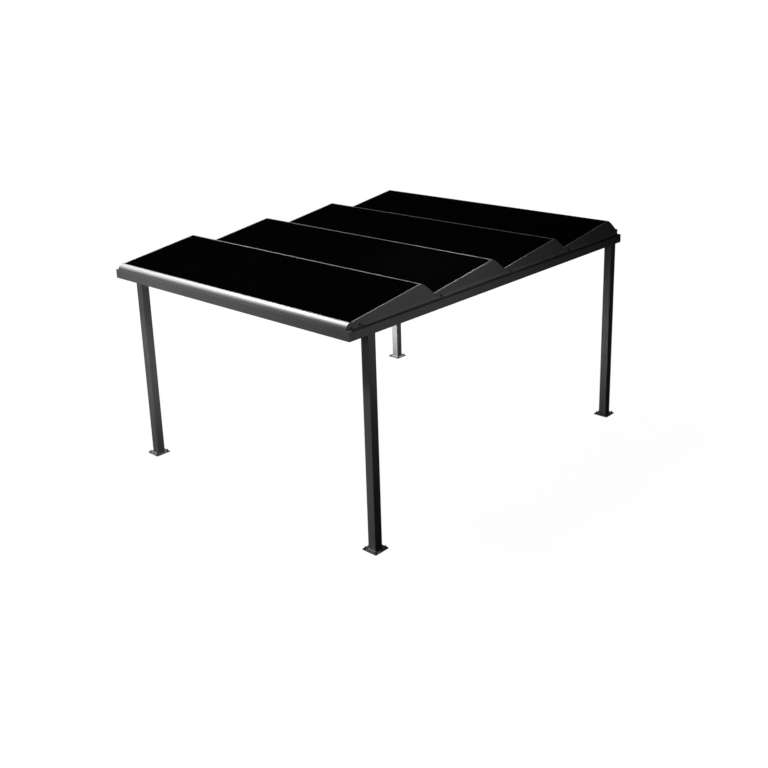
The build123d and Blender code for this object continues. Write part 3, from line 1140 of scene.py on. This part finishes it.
# %% Lamps in front
front_lamps = [
    add_lamp("front", (0, -9, 3), (0, -2.4, 2), 35, 6, 3),
    add_lamp("front_left", (-4.5, -6.5, 3.2), (-0.5, -2, 1.6), 150, 2.5, 2),
    add_lamp("front_high", (-0.5, -4.3, 6.5), (0.2, -2.3, 2), 77, 0.7, 0.7, spread=90),
]
print("lamps in front:", [lamp.name for lamp in front_lamps])

# %% [markdown]
# Three big lamps at the left are seen only in reflections. They draw the bright band along the nose, and
# they stand above the line where the panes' mirror image, as seen from the camera, would meet them.

# %% Lamps for the nose
nose_middle = (0, -2.4, 2.4)
nose_lamps = [
    add_lamp("nose_band_left", (-7, -3.5, 7.5), nose_middle, 1250, 8, 6, reflected=True),
    add_lamp("nose_band_right", (-5, -3, 9.5), nose_middle, 1250, 6, 4, reflected=True),
    add_lamp("nose_band_top", (-7, 1.5, 10.3), nose_middle, 650, 3, 3, reflected=True),
]
print("lamps for the nose:", [lamp.name for lamp in nose_lamps])

# %% [markdown]
# Along the right side the light falls off from front to rear, with three small lamps for the side plates.
# One more lights the flanges along the ridges from above, and one with a narrow spread the top edges of
# the side plates.

# %% Lamps for the roof's side and ridges
roof_lamps = [
    add_lamp("right", (4.7, -2.4, 3.4), (1.87, -1.9, 3.4), 15, 1.2, 0.8, spread=100),
    add_lamp("right_near", (3.4, -0.7, 4.6), (1.85, -0.5, 2.5), 5, 0.8, 0.8, spread=90),
    add_lamp("right_rear", (4.5, 1.4, 3.4), (1.87, 1.5, 2.6), 1.9, 0.8, 0.8, spread=100),
    add_lamp("ridge_top", (-0.7, -0.5, 4.8), (-0.5, -0.3, 2.6), 9, 0.8, 0.8, spread=110),
    add_lamp("edge_top", (-0.6, -0.6, 4.2), (1.8, -0.6, 2.5), 26, 0.5, 0.5, spread=50),
]
print("lamps for the roof:", [lamp.name for lamp in roof_lamps])

# %% [markdown]
# Four lamps with a narrow spread pick out single posts. The last three are broad: they keep the far sides
# and the underside readable when the carport is looked at from behind or from below.

# %% Lamps for the posts and the far sides
post_lamps = [
    add_lamp("post_front", (0.6, -5, 0.8), (1.8, -2.15, 0.7), 1.5, 0.4, 1, spread=50),
    add_lamp("post_left", (0.2, -4, 1.3), (-1.8, -2.15, 1.4), 6, 0.4, 2, spread=50),
    add_lamp("post_right", (0.9, -0.2, 1), (1.82, 2.22, 0.9), 3.5, 0.3, 0.6, spread=60),
    add_lamp("post_rear", (-1.7, 0.9, 0.9), (-1.82, 2.22, 0.45), 17, 0.3, 0.6, spread=60),
]
far_lamps = [
    add_lamp("rear", (-3, 9, 4), (0, 2.4, 1.8), 350, 6, 3),
    add_lamp("left", (-9, 1, 4), (-1.8, 0, 1.8), 350, 5, 3),
    add_lamp("from_below", (0, 0, 0.2), (0, 0, 2.4), 15, 3, 4),
]
print("lamps:", len(front_lamps + nose_lamps + roof_lamps + post_lamps + far_lamps))

# %% [markdown]
# The camera stands in front of the right corner, well above the roof. Its place, its turn and its lens
# come from a fit of the model's edges to the photograph. The picture's optical centre is not quite in its
# middle, as in a picture that was cropped a little, and the lens shift stands for that.

# %% Camera
picture_side = 768
focal_length = 1024.165
optical_centre = (404, 300)
camera_place = (8.180, -8.740, 5.350)
yaw, pitch, roll = 0.72905, -0.29092, -0.0237

camera_data = bpy.data.cameras.new("camera")
camera = bpy.data.objects.new("camera", camera_data)
bpy.context.scene.collection.objects.link(camera)
bpy.context.scene.camera = camera
camera_data.sensor_width = 36
camera_data.lens = focal_length / picture_side * camera_data.sensor_width
camera_data.shift_x = 0.5 - optical_centre[0] / picture_side
camera_data.shift_y = optical_centre[1] / picture_side - 0.5
tilt_up = Matrix.Rotation(math.radians(90) + pitch, 4, "X")
turn = Matrix.Rotation(yaw, 4, "Z") @ tilt_up @ Matrix.Rotation(roll, 4, "Z")
camera.matrix_world = Matrix.Translation(camera_place) @ turn
bpy.context.scene.view_settings.view_transform = "Standard"
print("lens in mm:", round(camera_data.lens, 2), "shift:", camera_data.shift_x, camera_data.shift_y)
